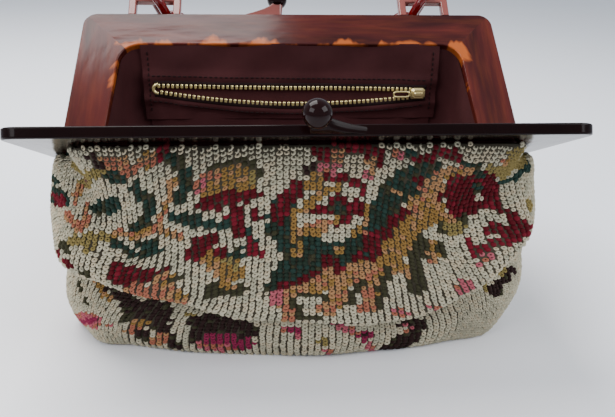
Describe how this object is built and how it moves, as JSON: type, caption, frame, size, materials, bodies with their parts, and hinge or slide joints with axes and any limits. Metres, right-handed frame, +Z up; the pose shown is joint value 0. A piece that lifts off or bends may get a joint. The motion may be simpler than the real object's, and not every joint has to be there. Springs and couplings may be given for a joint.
{
  "type": "knitting bag",
  "caption": "Soft tapestry knitting bag on a hinged tortoiseshell acrylic frame, with a lined inside, a zipped pocket, a kiss-lock clasp and a chain handle.",
  "frame": {"origin": "on the surface the bag stands on, straight below the hinge axis, midway along it", "axes": "+X along the frame, to the right of a person who looks into the open bag from the front; +Y to the back; +Z up"},
  "size_m": [0.28, 0.2354, 0.1893],
  "materials": {
    "tortoiseshell": "glossy, slightly translucent, blotched amber and dark red",
    "cherry_acrylic": "glossy, translucent",
    "tapestry": "looped and cut wool pile",
    "lining": "matte plain weave",
    "zip_tape": "ribbed tape",
    "brass": "polished, lightly worn",
    "steel": "drawn",
    "board": "grey-brown fibre board"
  },
  "bodies": {
    "root": {"base_board": "board", "lining_back_lower": "lining", "lining_base": "lining", "lining_front": "lining", "lining_left_gusset": "lining", "lining_right_gusset": "lining", "tapestry_back": "tapestry", "tapestry_base": "tapestry", "tapestry_front": "tapestry", "tapestry_left_gusset": "tapestry", "tapestry_right_gusset": "tapestry"},
    "front_frame": {"front_frame_half": "tortoiseshell", "front_clasp_arm": "tortoiseshell", "front_clasp_ball": "tortoiseshell"},
    "back_frame": {"back_frame_half": "tortoiseshell", "left_hinge_pin": "steel", "right_hinge_pin": "steel", "back_clasp_arm": "tortoiseshell", "back_clasp_ball": "tortoiseshell", "left_handle_lug": "tortoiseshell", "right_handle_lug": "tortoiseshell", "lining_back": "lining", "zip_tape_upper": "zip_tape", "zip_tape_lower": "zip_tape", "zip_teeth_upper": "brass", "zip_teeth_lower": "brass", "zip_end_stop": "brass", "zip_pocket_bag": "lining"},
    "handle": {"chain_link_01": "cherry_acrylic", "chain_link_02": "cherry_acrylic", "chain_link_03": "cherry_acrylic", "chain_link_04": "cherry_acrylic", "chain_link_05": "cherry_acrylic", "chain_link_06": "cherry_acrylic", "chain_link_07": "cherry_acrylic", "chain_link_08": "cherry_acrylic", "chain_link_09": "cherry_acrylic", "chain_link_10": "cherry_acrylic", "chain_link_11": "cherry_acrylic", "chain_link_12": "cherry_acrylic", "chain_link_13": "cherry_acrylic"},
    "zip_slider": {"zip_slider": "brass"},
    "zip_pull": {"zip_pull_tab": "brass"}
  },
  "joints": [
    {"name": "front_frame_hinge", "type": "hinge", "parent": "root", "child": "front_frame", "pos_m": [0, 0, 0.104], "axis": [-1, 0, 0], "range_deg": [0, 65]},
    {"name": "back_frame_hinge", "type": "hinge", "parent": "root", "child": "back_frame", "pos_m": [0, 0, 0.104], "axis": [1, 0, 0], "range_deg": [0, 46.5]},
    {"name": "handle_swing", "type": "hinge", "parent": "back_frame", "child": "handle", "pos_m": [0, 0.08403, 0.17961], "axis": [1, 0, 0], "range_deg": [0, 112]},
    {"name": "zip_slide", "type": "slide", "parent": "back_frame", "child": "zip_slider", "axis": [-1, 0, 0], "range_m": [0, 0.155]},
    {"name": "zip_pull_hinge", "type": "hinge", "parent": "zip_slider", "child": "zip_pull", "pos_m": [0.08, 0.0508, 0.1235], "axis": [0, 0, 1], "range_deg": [0, 170]}
  ]
}
